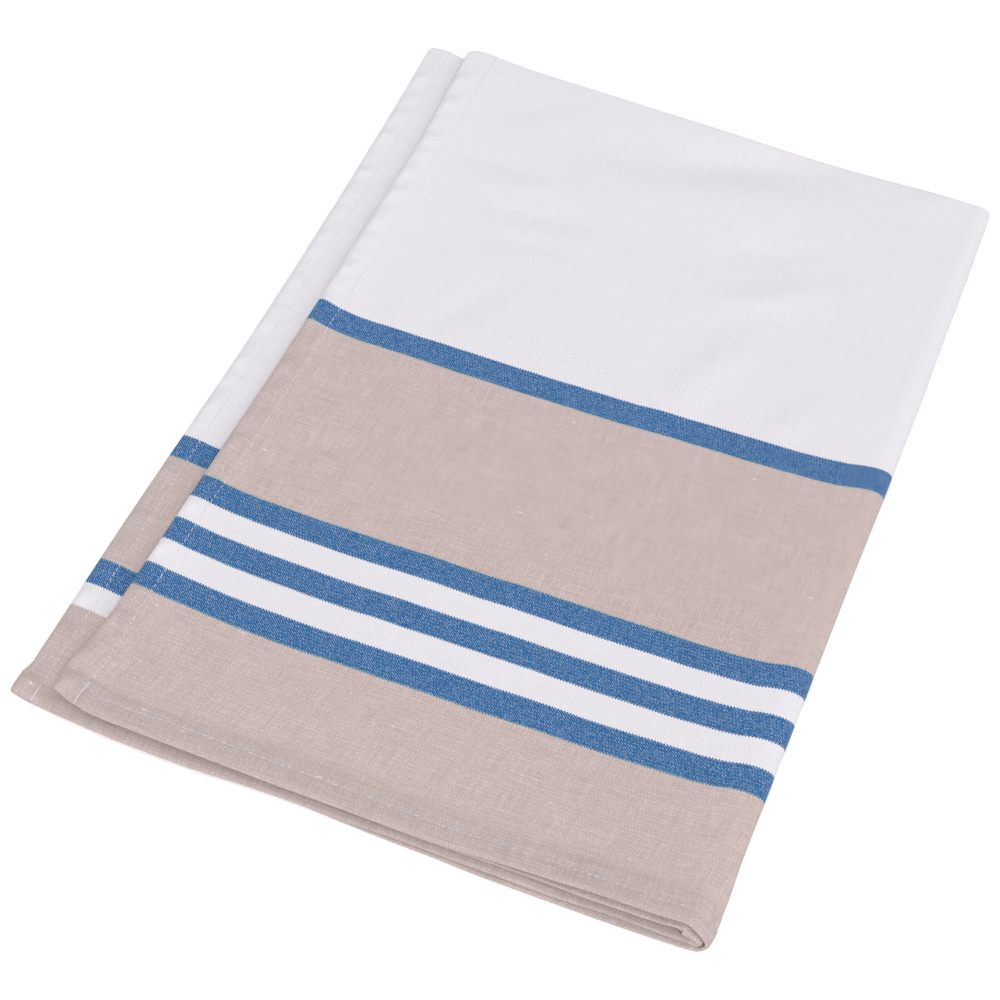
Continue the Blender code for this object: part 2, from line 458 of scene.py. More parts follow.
def upper_rise(x, y):
    """How far the upper half is lifted off the lower one by the fold's swell and the lifts."""
    swell = read(RIGHT_FOLD, "swell", y)
    height = swell * smooth((x - SWELL_FROM) / (SWELL_TO - SWELL_FROM))
    for row in LIFTS[1:]:
        place = dict(zip(LIFTS[0], row))
        off_x = (x - place["x"]) / place["reach_x"]
        off_y = (y - place["y"]) / place["reach_y"]
        height = height + place["rise"] * bell(off_x) * bell(off_y)
    return height


def crease_rise(x, y):
    """The soft creases' height: each is a long bell, narrow across its own direction."""
    height = np.zeros_like(x)
    for row in CREASES[1:]:
        place = dict(zip(CREASES[0], row))
        angle = np.radians(place["turn"])
        off_x = x - place["x"]
        off_y = y - place["y"]
        lengthwise = (off_x * np.cos(angle) + off_y * np.sin(angle)) / place["long"]
        sideways = (off_y * np.cos(angle) - off_x * np.sin(angle)) / place["wide"]
        height = height + place["rise"] * bell(lengthwise) * bell(sideways)
    return height


def puff_rise(puffs, in_from_edge, y):
    """A side hem's swellings: a bell round each place, only between the edge and the stitches."""
    height = np.zeros_like(y)
    for number, place in enumerate(puffs):
        rise = PUFF_RISE * (1 + RISE_SWING * np.sin(RISE_STEP * number))
        long = PUFF_LONG * (1 + LONG_SWING * np.cos(LONG_STEP * number))
        height = height + rise * bell((y - place - PUFF_SLANT * in_from_edge) / long)
    window = smooth(in_from_edge / PUFF_START) * (1 - smooth((in_from_edge - PUFF_END) / PUFF_FADE))
    return height * window


# Where the seams run: the side seams' x on the top and third layers, and how far the end seam lies in
# from the front edge.
SIDE_SEAMS = (
    ("y", "top", "third"),
    (0, 24.8, 8.9),
    (56, 26.7, 9.4),
    (97, 28.0, 9.5),
    (121, 28.9, 9.6),
    (196, 30.6, 10.8),
    (240, 31.0, 11.0),
    (300, 31.0, 10.1),
    (352, 30.8, 9.6),
)
END_SEAM = (
    ("x", "outer", "inner"),
    (0, 8.0, 9.6),
    (27, 8.0, 9.4),
    (40, 7.0, 9.0),
    (60, 7.6, 8.5),
    (100, 7.9, 8.5),
    (130, 7.5, 8.5),
    (150, 7.3, 8.5),
    (177, 6.6, 8.5),
    (211, 6.1, 8.5),
    (228, 6.0, 8.5),
    (251, 6.3, 8.5),
)

# Low bells across the cloth: height in mm, how far past a seam its middle lies, and half width. The
# stitches pull a groove, the cloth dips behind a seam, a furrow crosses the third layer's front corner
# at a slant, and a ridge runs along the right fold, at an x of its own.
GROOVE = (-0.16, 0.0, 1.0)
END_VALLEY = (-0.34, 5.6, 2.6)
SIDE_VALLEY = (-0.12, 3.5, 2.5)
FURROW = (-0.80, 3.9, 2.6)
FURROW_SLANT = 0.44
RIDGE = (0.30, 248.0, 4.5)
RIDGE_FROM = 12.0
RIDGE_OVER = 10.0

# A turned edge falls away to its rim. The end hems stand up towards their edge, from TILT_FROM past the
# seam. The top layer's begins at its side seam, over CORNER_OVER.
ROLL_DEPTH = 0.22
ROLL_WIDE = 2.0
TOP_TILT = 1.2
THIRD_TILT = 0.6
TILT_FROM = 2.5
TILT_OVER = 9.5
CORNER_FROM = -1.5
CORNER_OVER = 3.0

# The third layer shows only for SEEN_WIDE from its left edge, and sinks under the top one from its seam.
SEEN_WIDE = 15.0
SEEN_FADE = 5.0
SINK_DEPTH = 0.75
SINK_FROM = -1.0
SINK_OVER = 7.0


def edge_roll(in_from_edge):
    """A turned edge is round: near it the face falls away to the rim, ever more steeply."""
    return -ROLL_DEPTH * (1 - smooth(in_from_edge / ROLL_WIDE)) ** 2


def swelling(shape, past):
    """A low bell of that height, place and half width, at a distance past a seam."""
    height, at, wide = shape
    return height * bell((past - at) / wide)


def sheet_relief(x, y, front, left):
    """Small relief of each layer, away from the middle of its own pair.

    The top layer has the creases, the puffs and grooves of its side hem and seams, the tilt of its end
    hem with the dip behind it, and the ridge along the right fold. The third has the like where it
    shows. The second gives way under the top one's troughs. The edges of top and third are rolled.
    """
    end_in = y - front["top"]
    side_in = x - left["top"]
    past_end_seam = end_in - read(END_SEAM, "outer", x)
    past_side_seam = x - read(SIDE_SEAMS, "top", y)
    creases = crease_rise(x, y)
    end_hem = TOP_TILT * smooth((TILT_FROM - past_end_seam) / TILT_OVER)
    end_hem = end_hem + swelling(GROOVE, past_end_seam) + swelling(END_VALLEY, past_end_seam)
    end_hem = end_hem * smooth((past_side_seam - CORNER_FROM) / CORNER_OVER)
    top = creases + puff_rise(TOP_PUFFS, side_in, y) + end_hem
    top = top + swelling(GROOVE, past_side_seam) + swelling(SIDE_VALLEY, past_side_seam)
    top = top + swelling(RIDGE, x) * smooth((y - RIDGE_FROM) / RIDGE_OVER)
    top = top + edge_roll(np.minimum(end_in, side_in))

    third_in = x - left["third"]
    third_end_in = y - front["third"]
    past_third_seam = x - read(SIDE_SEAMS, "third", y)
    past_third_end = third_end_in - read(END_SEAM, "inner", x)
    third = puff_rise(THIRD_PUFFS, third_in, y) + swelling(GROOVE, past_third_seam)
    third = third - SINK_DEPTH * smooth((past_third_seam - SINK_FROM) / SINK_OVER)
    third = third + THIRD_TILT * smooth((TILT_FROM - past_third_end) / TILT_OVER)
    third = third + swelling(FURROW, past_third_end + FURROW_SLANT * third_in)
    third = third * (1 - smooth((third_in - SEEN_WIDE) / SEEN_FADE))
    third = third + edge_roll(np.minimum(third_in, third_end_in))

    second = -PRESSED_SHARE * np.minimum(creases, 0)
    return {"top": top, "second": second, "third": third, "bottom": 0 * top}


# x and y depend a little on each other, so both are worked out this many times over.
SETTLE_ROUNDS = 3


def sheet_point(turn, across, bend, along, face, set_back=0):
    """A point of the folded sheet, in mm from the front left corner: the cloth is bent round the far
    fold into a pair of layers, and the pair is bent round the right fold.

    turn is the angle round the right fold, 0 on the upper half and pi on the lower one. across runs
    from 0 at the left edge to 1 at that fold. bend is the angle round the far fold, 0 on the outer
    end and pi on the inner one. along runs from 0 at the hem to 1 at that fold. face is 1 on the side
    outermost round the far fold and -1 on the other. set_back pulls a rim in, in cloth thicknesses.
    """
    upper = (1 + np.cos(turn)) / 2
    outer = (1 + np.cos(bend)) / 2
    over = turn <= np.pi / 2
    far_radius = (CLOTH_THICK + PLY_GAP) / 2
    x = np.full_like(turn * bend, CENTRE_X)
    y = np.full_like(turn * bend, 2 * CENTRE_Y) * along
    for _ in range(SETTLE_ROUNDS):
        fronts = front_edges(x)
        lefts = left_edges(y)
        thicks = layer_thickness(fronts, lefts, x, y)
        thick = of_layers(thicks, upper, outer)
        far = read(FAR_FOLD, "upper", x) * upper
        far = far + read(FAR_FOLD, "lower", x) * (1 - upper)
        front = of_layers(fronts, upper, outer)
        y = front + along * (far - thick / 2 - far_radius - front)

        room = layer_thickness(fronts, lefts, x, y, HEM_APRON)
        floor_to_pair = (thicks["bottom"] + room["bottom"] + PLY_GAP) / 2
        between = room["second"] + room["third"] + 2 * PLY_GAP + upper_rise(x, y)
        above = between - NOSE_LOW_RADIUS
        stiff = 1 - smooth((y - STIFF_TO) / STIFF_FADE)
        longest = NOSE_REACH + (STIFF_REACH - NOSE_REACH) * stiff
        reach = np.where(over, np.minimum(above ** 2 / NOSE_TIP_RADIUS, longest), NOSE_LOW_RADIUS)
        nose = read(RIGHT_FOLD, "x", y) - floor_to_pair
        left = of_layers(lefts, upper, outer)
        x = left + across * (nose - reach - left)

    # First bend: where the point lies in its pair of layers.
    relief = of_layers(sheet_relief(x, y, fronts, lefts), upper, outer)
    off_middle = (of_layers(room, upper, outer) + PLY_GAP + face * thick) / 2 + relief
    height = off_middle * np.cos(bend)
    y = y + (far_radius + face * thick / 2) * np.sin(bend)

    # Second bend: the pair goes round the right fold's section. Where the nose is stiff that is a
    # superellipse, whose quarter is nearer to a straight line.
    straightness = OUTER_STRAIGHTNESS * outer + INNER_STRAIGHTNESS * (1 - outer)
    power = 1 + straightness * stiff * over
    sine = np.clip(np.sin(turn), 0, 1)
    cosine = np.cos(turn)
    steep = np.sign(cosine) * np.abs(cosine) ** power
    drop = np.where(over, above, NOSE_LOW_RADIUS)
    pair_x = x + reach * sine ** power
    pair_z = floor_to_pair + NOSE_LOW_RADIUS + drop * steep
    hollow = np.clip(NOSE_LOW_RADIUS + above * steep + 2 * height, 0, None) * (face + 1) / 2
    bulge = BULGE_SHARE * stiff * (1 - outer) * over * smooth((pair_x - BULGE_FROM) / BULGE_LONG)
    pair_z = pair_z - bulge * hollow
    normal_x = sine ** (2 - power) / reach
    normal_z = np.sign(cosine) * np.abs(cosine) ** (2 - power) / drop
    scale = height / np.hypot(normal_x, normal_z)
    point = np.stack([pair_x + normal_x * scale, y, pair_z + normal_z * scale], axis=-1)
    point[..., 0] += set_back * thick * (across == 0)
    point[..., 1] += set_back * thick * (along == 0)
    return point


# Grid lines of the upper and lower half and of the outer and inner end: their usual spacing, then the
# reach and the spacing of the closer ones at the hem and at the fold.
GRADING = {
    "upper": (3.0, (13, 0.9), (12, 1.2)),
    "lower": (8.0, (16, 1.2), (6, 1.5)),
    "outer": (2.9, (16, 0.9), (4, 1.0)),
    "inner": (2.9, (10, 1.0), (4, 1.0)),
}
NOSE_STEPS = 22
FAR_FOLD_STEPS = 12
GRADING_POINTS = 4000


def graded(length, stretch):
    """Places along one stretch, as fractions from 0 to 1, even in the summed up density 1 / spacing."""
    step, at_hem, at_fold = GRADING[stretch]
    fine = np.linspace(0, length, GRADING_POINTS)
    density = np.full_like(fine, 1 / step)
    for place, (reach, near) in ((0, at_hem), (length, at_fold)):
        density = np.maximum(density, bell(((fine - place) / reach) ** 2) / near)
    total = np.concatenate([[0], np.cumsum((density[1:] + density[:-1]) / 2 * np.diff(fine))])
    count = int(np.ceil(total[-1]))
    return np.interp(np.linspace(0, total[-1], count + 1), total, fine) / length


def there_and_back(first, fold_steps, second):
    """Grid lines along one stretch, round a fold and back along the other: places and angles."""
    places = np.concatenate([first, np.ones(fold_steps - 1), second[::-1]])
    angles = np.concatenate([
        np.zeros(len(first)),
        np.linspace(0, np.pi, fold_steps + 1)[1:-1],
        np.full(len(second), np.pi),
    ])
    return places, angles


# The cloth in its own millimetres: u from the upper side hem's edge across to the lower one's, v from
# the outer end's hem edge along to the inner end's. Stripes and weave are drawn in these.
SHEET_U = FLAT_WIDTH / MM
SHEET_V = FLAT_LENGTH / MM

# How far each weft line bows away from straight on the top layer, at three of the stripes. The whole
# bow is WEFT_SET more. BOW_PLACES holds the y of the hem, of the three stripes and of the far fold.
WEFT_BOW = (
    ("x", "y_52", "y_104", "y_187"),
    (22, 1.7, 0.7, 0.8),
    (35, 1.6, 0.5, 0.2),
    (50, 0.8, 0.1, 0.0),
    (70, 0.0, 0.0, 0.0),
    (90, 0.2, 0.2, -0.2),
    (110, 0.9, 0.8, -0.2),
    (130, 1.4, 1.0, 0.1),
    (150, 1.8, 1.6, 0.4),
    (170, 2.4, 1.7, 1.4),
    (190, 2.5, 2.1, 1.7),
    (205, 2.6, 2.0, 1.5),
    (220, 3.0, 2.2, 1.7),
    (232, 3.8, 2.8, 2.4),
    (240, 5.5, 4.6, 4.0),
    (250, 6.6, 6.1, 5.6),
)
WEFT_SET = 0.7
BOW_PLACES = (0.0, 52.0, 104.0, 187.0, 352.0)

# Up to these y the stripes lie as they were woven. Behind them the cloth's places are drawn out or in to
# meet round the far fold, and across it, all but HEM_KEPT on either side. The third layer's stripes are
# counted from THIRD_STRIPES_FROM, and its hem from its edge.
OUTER_STRIPES_END = 200.0
INNER_STRIPES_END = 130.0
HEM_KEPT = 20.0
THIRD_STRIPES_FROM = -0.3


def weft_bow(x, y, front):
    """How far a weft line lies beyond its straight place: the table's lines, and a smooth blend between
    them. At the hem the line follows the edge, and at the far fold it is as at the last stripe."""
    lines = [front] + [read(WEFT_BOW, name, x) + WEFT_SET for name in WEFT_BOW[0][1:]]
    lines.append(lines[-1])
    bow = np.zeros_like(x)
    for number in range(len(lines) - 1):
        t = (y - BOW_PLACES[number]) / (BOW_PLACES[number + 1] - BOW_PLACES[number])
        here = (t >= 0) & (t < 1) | (t < 0) & (number == 0) | (t >= 1) & (number == len(lines) - 2)
        blend = smooth(t)
        bow = np.where(here, lines[number] * (1 - blend) + lines[number + 1] * blend, bow)
    return bow


def cloth_place(turn, bend, point):
    """Each grid point's place in the flat cloth, u and v in mm, from where it lies when folded.

    On the outer end v is y less the weft's bow. On the inner end it is counted back from the other
    hem. Beyond the stripes it is drawn out or in, so that the two ends meet round the far fold. u is
    the way over the cloth from the first side hem, drawn out or in between the two hems.
    """
    x, y = point[..., 0], point[..., 1]
    upper = turn < np.pi / 2
    fronts = front_edges(x)
    half_way = SHEET_V / 2
    outer_v = y - weft_bow(x, y, fronts["top"])
    far = read(FAR_FOLD, "upper", x)
    far_v = far - weft_bow(x, far, fronts["top"])
    outer_behind = smooth((y - OUTER_STRIPES_END) / (far - OUTER_STRIPES_END))
    outer_v = outer_v + outer_behind * (half_way - far_v)
    third_front = fronts["third"] * (y < HEM_KEPT) + THIRD_STRIPES_FROM * (y >= HEM_KEPT)
    inner_front = np.where(upper, fronts["second"], third_front)
    inner_behind = smooth((y - INNER_STRIPES_END) / (far - INNER_STRIPES_END))
    inner_v = y - inner_front + inner_behind * (half_way - (far - inner_front))
    v = np.where(bend < np.pi / 2, outer_v, SHEET_V - inner_v)

    steps = np.linalg.norm(np.diff(point, axis=0), axis=-1)
    way = np.concatenate([np.zeros_like(x[:1]), np.cumsum(steps, axis=0)])
    u = way + (SHEET_U - way[-1]) * smooth((way - HEM_KEPT) / (way[-1] - 2 * HEM_KEPT))
    return np.stack([u, v], axis=-1)


# A rim's rows from one face to the other, as places through the cloth. Its section is a half round
# whose under side draws in further. At a side hem's open end it is flatter by OPEN_FLATNESS, and has
# two shallow grooves, where the hem's three plies meet. The depths are in cloth thicknesses.
RIM_FACES = np.array([0.93, 0.72, 0.45, 0.33, 0.2, -0.2, -0.33, -0.45, -0.72, -0.93])
HEM_ROUNDING = 0.3
UNDERCUT = 0.7
OPEN_FLATNESS = 0.6
PLY_GROOVE = 0.32
PLY_GROOVE_AT = 0.33
PLY_GROOVE_WIDE = 0.12


def rim_set_back(face, turn, across, bend, along):
    """How far in the rim is pulled at a height through the cloth, in thicknesses: a half round that
    draws in further on its under side. At the open ends of a side hem there is also a groove on
    either side of the middle ply."""
    open_end = (along == 0) * (1 - smooth((across * 2 * CENTRE_X - SIDE_HEM) / HEM_STEP))
    round_in = 1 - np.sqrt(np.clip(1 - face ** 2, 0, 1))
    half_round = HEM_ROUNDING * round_in * (1 - OPEN_FLATNESS * open_end)
    groove = PLY_GROOVE * bell((np.abs(face) - PLY_GROOVE_AT) / PLY_GROOVE_WIDE)
    downward = face * np.where(np.cos(turn) * np.cos(bend) > 0, -1, 1)
    undercut = UNDERCUT * np.clip(downward, 0, 1) ** 2
    return half_round + groove * open_end + undercut * (1 - open_end)


def towel_mesh():
    """The folded sheet as one closed mesh: two faces and a round rim between them."""
    width = 2 * CENTRE_X
    length = 2 * CENTRE_Y
    across, turn = there_and_back(graded(width, "upper"), NOSE_STEPS, graded(width, "lower"))
    along, bend = there_and_back(graded(length, "outer"), FAR_FOLD_STEPS, graded(length, "inner"))
    wide, long = len(across), len(along)
    grid = [turn[:, None], across[:, None], bend[None, :], along[None, :]]
    grid = [np.ascontiguousarray(np.broadcast_to(values, (wide, long))) for values in grid]
    index = np.arange(wide * long).reshape(wide, long)

    # Once round the cloth's four edges, corner to corner.
    edge = np.concatenate([index[:-1, 0], index[-1, :-1], index[:0:-1, -1], index[0, :0:-1]])
    edge_grid = [values.ravel()[edge] for values in grid]
    ones = np.ones((wide, long))
    points = [
        sheet_point(*grid, ones, rim_set_back(ones, *grid)).reshape(-1, 3),
        sheet_point(*grid, -ones, rim_set_back(-ones, *grid)).reshape(-1, 3),
    ]
    places = [cloth_place(grid[0], grid[2], points[0].reshape(wide, long, 3)).reshape(-1, 2)]
    places.append(places[0])
    edge_turn, edge_across, edge_bend, edge_along = edge_grid
    edge_outward = np.stack([
        np.where(edge_turn < np.pi / 2, -1, 1) * (edge_across == 0),
        np.where(edge_bend < np.pi / 2, -1, 1) * (edge_along == 0),
    ], axis=-1)
    rows = [edge]
    for number, face in enumerate(RIM_FACES):
        flat_face = np.full(len(edge), face)
        inward = rim_set_back(flat_face, *edge_grid)
        points.append(sheet_point(*edge_grid, flat_face, inward))
        places.append(places[0][edge] + edge_outward * HEM_THICK * (1 - abs(face)))
        rows.append(2 * wide * long + number * len(edge) + np.arange(len(edge)))
    rows.append(edge + wide * long)

    quads = np.stack([index[:-1, :-1], index[1:, :-1], index[1:, 1:], index[:-1, 1:]], axis=-1)
    quads = quads.reshape(-1, 4)
    faces = [quads, quads[:, ::-1] + wide * long]
    for above, below in zip(rows[:-1], rows[1:]):
        faces.append(np.stack([np.roll(above, -1), above, below, np.roll(below, -1)], axis=-1))
    faces = np.concatenate(faces)
    points = np.concatenate(points)
    places = np.concatenate(places)

    mesh = bpy.data.meshes.new("tea_towel")
    mesh.from_pydata(placed(points).tolist(), [], faces.tolist())
    cloth_map = mesh.uv_layers.new(name="cloth")
    cloth_map.data.foreach_set("uv", (places[faces.ravel()] * MM).ravel())
    mesh.shade_smooth()
    return mesh


# Yarn-dyed cotton twill: white warp all over, and a weft that changes colour for each band. Far more
# weft than warp shows, so the bands are strong and flecked with white on a fine diagonal. Where tan
# meets blue the two mix to a thread of teal, TEAL_WIDE mm wide.
WARP_WHITE = "#D7D5DA"
WEFT_WHITE = "#CCCACF"
WEFT_TAN = "#AE9C98"
# The tan of the hems, painted a little darker as shade.
HEM_TAN_PAINTED_SHADE = "#AA9A97"
WEFT_BLUE = "#0C5488"
WEFT_TEAL = "#558384"
TEAL_WIDE = 0.35

# The bands from each hem edge to the middle, in mm along the cloth: colour, start and end. What runs
# over the edge starts PAST_EDGE outside it. BAND_BORDER and HEM_BORDER are how wide a border is.
PAST_EDGE = 5.0
BAND_BORDER = 0.1
HEM_BORDER = 1.0
OUTER_BANDS = (
    ("tan", -PAST_EDGE, 50.8),
    ("blue", 50.8, 61.3),
    ("blue", 72.5, 83.0),
    ("blue", 93.7, 103.8),
    ("tan", 103.8, 186.5),
    ("blue", 186.5, 197.2),
)
INNER_BANDS = (
    ("tan", -PAST_EDGE, 39.9),
    ("blue", 50.1, 60.8),
    ("tan", 60.8, 111.6),
    ("blue", 111.6, 121.9),
)

# The weave: a diagonal line, a weft-wise rib and a shallower diagonal that the two make together. Each
# row is its repeat across and along the cloth in mm, and its strength. The diagonal repeats every
# 0.7 mm, coarser than the real 0.5 mm, because that is under two pixels and wouldn't show.
WEAVE = (
    ("across", "along", "strength"),
    (1.10, 0.90, 1.6),
    (np.inf, 1.35, 0.20),
    (1.10, 2.70, 0.30),
)

# GRAIN is how strongly one cell of the weave, a quarter of its repeat, differs from the next. The bump
# is WEAVE_DEPTH in mm for a height of 1, at a strength of WEAVE_BUMP.
GRAIN = 3.0
GRAIN_SIZE = (0.275, 0.225)
WEAVE_BUMP = 0.5
WEAVE_DEPTH = 0.05

# Where the weave stands higher than FLECK_FROM the warp begins to show, and from FLECK_FULL on its white
# is FLECK_SHARE of the colour.
FLECK_FROM = 0.55
FLECK_FULL = 3.0
FLECK_SHARE = 0.55

# In mm: a band's border wanders by WANDER over WANDER_SIZE, and has a tooth for each float of the weft.
WANDER = 1.0
WANDER_SIZE = 20.0
TOOTH_REPEAT = 1.10
TOOTH_DEPTH = 0.28

# Streaks of single yarns, across and along the cloth in mm, and how strong they are on white and dyed.
WEFT_STREAK = (15.0, 0.625)
WARP_STREAK = (5 / 9, 130 / 9)
STREAK_DETAIL = 1.0
STREAK_WHITE = 0.08
STREAK_DYED = 0.34
NOISE_ROUGHNESS = 0.6

# Slubs: the size of the cells that may hold one, in mm, its edge and core as shares of a cell, how
# white its core is and the share of the cells that go without.
SLUB_CELL = (17.0, 8.0)
SLUB_EDGE = 0.065
SLUB_CORE = 0.025
SLUB_WHITE = 0.7
SLUB_RARITY = 0.5

# No gloss, and a faint fuzz that lightens the cloth at grazing angles.
COTTON = {"Roughness": 0.92, "Specular IOR Level": 0.25, "Sheen Weight": 0.08, "Sheen Roughness": 0.6}


def wave(tree, u, v, across, along):
    """The cosine of a weave line that repeats every across mm of u and along mm of v."""
    part = add_node(tree, "Math", {"operation": "MULTIPLY", 1: 2 * np.pi / across}, {0: u})
    phase = add_node(tree, "Math", {"operation": "MULTIPLY_ADD", 1: 2 * np.pi / along}, {0: v, 2: part})
    return add_node(tree, "Math", {"operation": "COSINE"}, {0: phase})


def band_mask(tree, v, bands, border):
    """1 inside any of the bands of v and 0 outside: how far v is from a band's middle, ramped from 0
    to 1 over its border, and the most of all the bands."""
    total = None
    for start, end in bands:
        off = add_node(tree, "Math", {"operation": "SUBTRACT", 1: (start + end) / 2}, {0: v})
        far = add_node(tree, "Math", {"operation": "ABSOLUTE"}, {0: off})
        outside, inside = (end - start + border) / 2, (end - start - border) / 2
        mask = add_node(tree, "MapRange", {"From Min": outside, "From Max": inside}, {"Value": far})
        if total is not None:
            mask = add_node(tree, "Math", {"operation": "MAXIMUM"}, {0: total, 1: mask})
        total = mask
    return total


def cotton_twill():
    """Yarn-dyed cotton twill, washed and pressed.

    To the eye it is matt: light spreads evenly over a crease, with no highlight, and a faint fuzz
    lightens it at grazing angles. The bands are flecked with the white warp on a fine diagonal.
    """
    material, tree, shader = new_material("yarn-dyed cotton twill", COTTON)
    cloth = add_node(tree, "UVMap", {"uv_map": "cloth"})
    mm = add_node(tree, "Mapping", {"Scale": (1 / MM, 1 / MM, 1)}, {"Vector": cloth})
    split = add_node(tree, "SeparateXYZ", {}, {"Vector": mm})
    u, v = split.outputs["X"], split.outputs["Y"]

    # The weft wanders a little, and the last pick of a band shows as teeth, one for each float.
    broad = add_node(
        tree, "TexNoise", {"Scale": 1 / WANDER_SIZE, "Roughness": NOISE_ROUGHNESS}, {"Vector": mm}
    )
    wander = add_node(tree, "Math", {"operation": "MULTIPLY_ADD", 1: WANDER, 2: -WANDER / 2}, {0: broad})
    teeth = wave(tree, u, v, TOOTH_REPEAT, np.inf)
    moved = add_node(tree, "Math", {"operation": "MULTIPLY_ADD", 1: TOOTH_DEPTH}, {0: teeth, 2: wander})
    pick = add_node(tree, "Math", {"operation": "ADD"}, {0: v, 1: moved})
    bands = list(OUTER_BANDS)
    bands += [(name, SHEET_V - end, SHEET_V - start) for name, start, end in INNER_BANDS]
    places = {name: [row[1:] for row in bands if row[0] == name] for name in ("tan", "blue")}
    meetings = {edge for start, end in places["blue"] for edge in (start, end)}
    meetings &= {edge for start, end in places["tan"] for edge in (start, end)}
    places["teal"] = [(edge - TEAL_WIDE / 2, edge + TEAL_WIDE / 2) for edge in sorted(meetings)]

    # Painted shade: the tan is drawn a little darker in the hems, standing in for three plies letting less
    # light through than one.
    end_hems = [(-PAST_EDGE, END_HEM), (SHEET_V - END_HEM, SHEET_V + PAST_EDGE)]
    side_hems = [(-PAST_EDGE, SIDE_HEM), (SHEET_U - SIDE_HEM, SHEET_U + PAST_EDGE)]
    hem_shade_mask = add_node(
        tree, "Math", {"operation": "MAXIMUM"},
        {0: band_mask(tree, v, end_hems, HEM_BORDER), 1: band_mask(tree, u, side_hems, HEM_BORDER)},
    )
    tan = add_node(
        tree, "Mix", {"data_type": "RGBA", "A": colour(WEFT_TAN), "B": colour(HEM_TAN_PAINTED_SHADE)},
        {"Factor": hem_shade_mask},
    )
    weft = add_node(
        tree, "Mix", {"data_type": "RGBA", "A": colour(WEFT_WHITE)},
        {"Factor": band_mask(tree, pick, places["tan"], BAND_BORDER), "B": tan},
    )
    for name, dye in (("blue", WEFT_BLUE), ("teal", WEFT_TEAL)):
        weft = add_node(
            tree, "Mix", {"data_type": "RGBA", "B": colour(dye)},
            {"Factor": band_mask(tree, pick, places[name], BAND_BORDER), "A": weft},
        )

    # The relief of the weave, uneven from cell to cell.
    cells = add_node(tree, "VectorMath", {"operation": "SNAP", 1: GRAIN_SIZE + (1.0,)}, {0: mm})
    each = add_node(tree, "TexWhiteNoise", {}, {"Vector": cells})
    height = add_node(tree, "Math", {"operation": "MULTIPLY_ADD", 1: GRAIN, 2: -GRAIN / 2}, {0: each})
    for row in WEAVE[1:]:
        repeat = dict(zip(WEAVE[0], row))
        line = wave(tree, u, v, repeat["across"], repeat["along"])
        height = add_node(
            tree, "Math", {"operation": "MULTIPLY_ADD", 1: repeat["strength"]}, {0: line, 2: height}
        )

    # White warp shows where it floats over the weft.
    fleck = add_node(
        tree, "MapRange",
        {"interpolation_type": "SMOOTHSTEP", "From Min": FLECK_FROM, "From Max": FLECK_FULL,
         "To Max": FLECK_SHARE},
        {"Value": height},
    )
    woven = add_node(
        tree, "Mix", {"data_type": "RGBA", "B": colour(WARP_WHITE)}, {"Factor": fleck, "A": weft}
    )

    # Yarns differ in thickness and, where dyed, in shade: faint streaks along the weft and the warp. Each
    # noise is 0.5 on average, so the two together less 1 are as often above 0 as below it.
    streaks = []
    for size in (WARP_STREAK, WEFT_STREAK):
        drawn = add_node(tree, "Mapping", {"Scale": (1 / size[0], 1 / size[1], 1)}, {"Vector": mm})
        streaks.append(add_node(
            tree, "TexNoise", {"Scale": 1.0, "Detail": STREAK_DETAIL, "Roughness": NOISE_ROUGHNESS},
            {"Vector": drawn},
        ))
    both = add_node(tree, "Math", {"operation": "ADD"}, {0: streaks[0], 1: streaks[1]})
    off = add_node(tree, "Math", {"operation": "SUBTRACT", 1: 1.0}, {0: both})
    dyed = band_mask(tree, pick, places["tan"] + places["blue"], BAND_BORDER)
    strength = add_node(
        tree, "Math", {"operation": "MULTIPLY_ADD", 1: STREAK_DYED - STREAK_WHITE, 2: STREAK_WHITE},
        {0: dyed},
    )
    shade = add_node(tree, "Math", {"operation": "MULTIPLY_ADD", 2: 1.0}, {0: off, 1: strength})
    tinted = add_node(tree, "VectorMath", {"operation": "SCALE"}, {0: woven, "Scale": shade})

    # Slubs: here and there a lump of undyed fibre is caught in the yarn.
    room = add_node(tree, "Mapping", {"Scale": (1 / SLUB_CELL[0], 1 / SLUB_CELL[1], 1)}, {"Vector": mm})
    lumps = add_node(tree, "TexVoronoi", {"Scale": 1.0}, {"Vector": room})
    slub = add_node(
        tree, "MapRange", {"From Min": SLUB_EDGE, "From Max": SLUB_CORE, "To Max": SLUB_WHITE},
        {"Value": lumps},
    )
    luck = add_node(tree, "SeparateXYZ", {}, {"Vector": lumps.outputs["Color"]})
    chosen = add_node(tree, "Math", {"operation": "GREATER_THAN", 1: SLUB_RARITY}, {0: luck})
    shown = add_node(tree, "Math", {"operation": "MULTIPLY"}, {0: slub, 1: chosen})
    final = add_node(
        tree, "Mix", {"data_type": "RGBA", "B": colour(WARP_WHITE)}, {"Factor": shown, "A": tinted}
    )
    bump = add_node(
        tree, "Bump", {"Strength": WEAVE_BUMP, "Distance": WEAVE_DEPTH * MM}, {"Height": height}
    )
    tree.links.new(find_socket(final.outputs, "Result"), shader.inputs["Base Color"])
    tree.links.new(bump.outputs["Normal"], shader.inputs["Normal"])
    return material


towel = add_object("tea_towel", towel_mesh())
towel.data.materials.append(cotton_twill())
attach(towel, "root")
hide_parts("towel")


# ----------------------------------------
# Hem stitches: pale spun thread in a plain lockstitch, 2.4 mm a stitch, on both faces of the cloth. The
# side seams run the whole length, with a few stitches back at both ends. The end seams run between them.

# Sizes in mm and slants in degrees, with how much they vary from stitch to stitch.
STITCH_PITCH = 2.4
STITCH_LONG = 2.2
LONG_VARIES = 0.08
STITCH_SLANT = 9.0
SLANT_VARIES = 4.0
THREAD_RADIUS = 0.13
STITCH_SIDES = 5

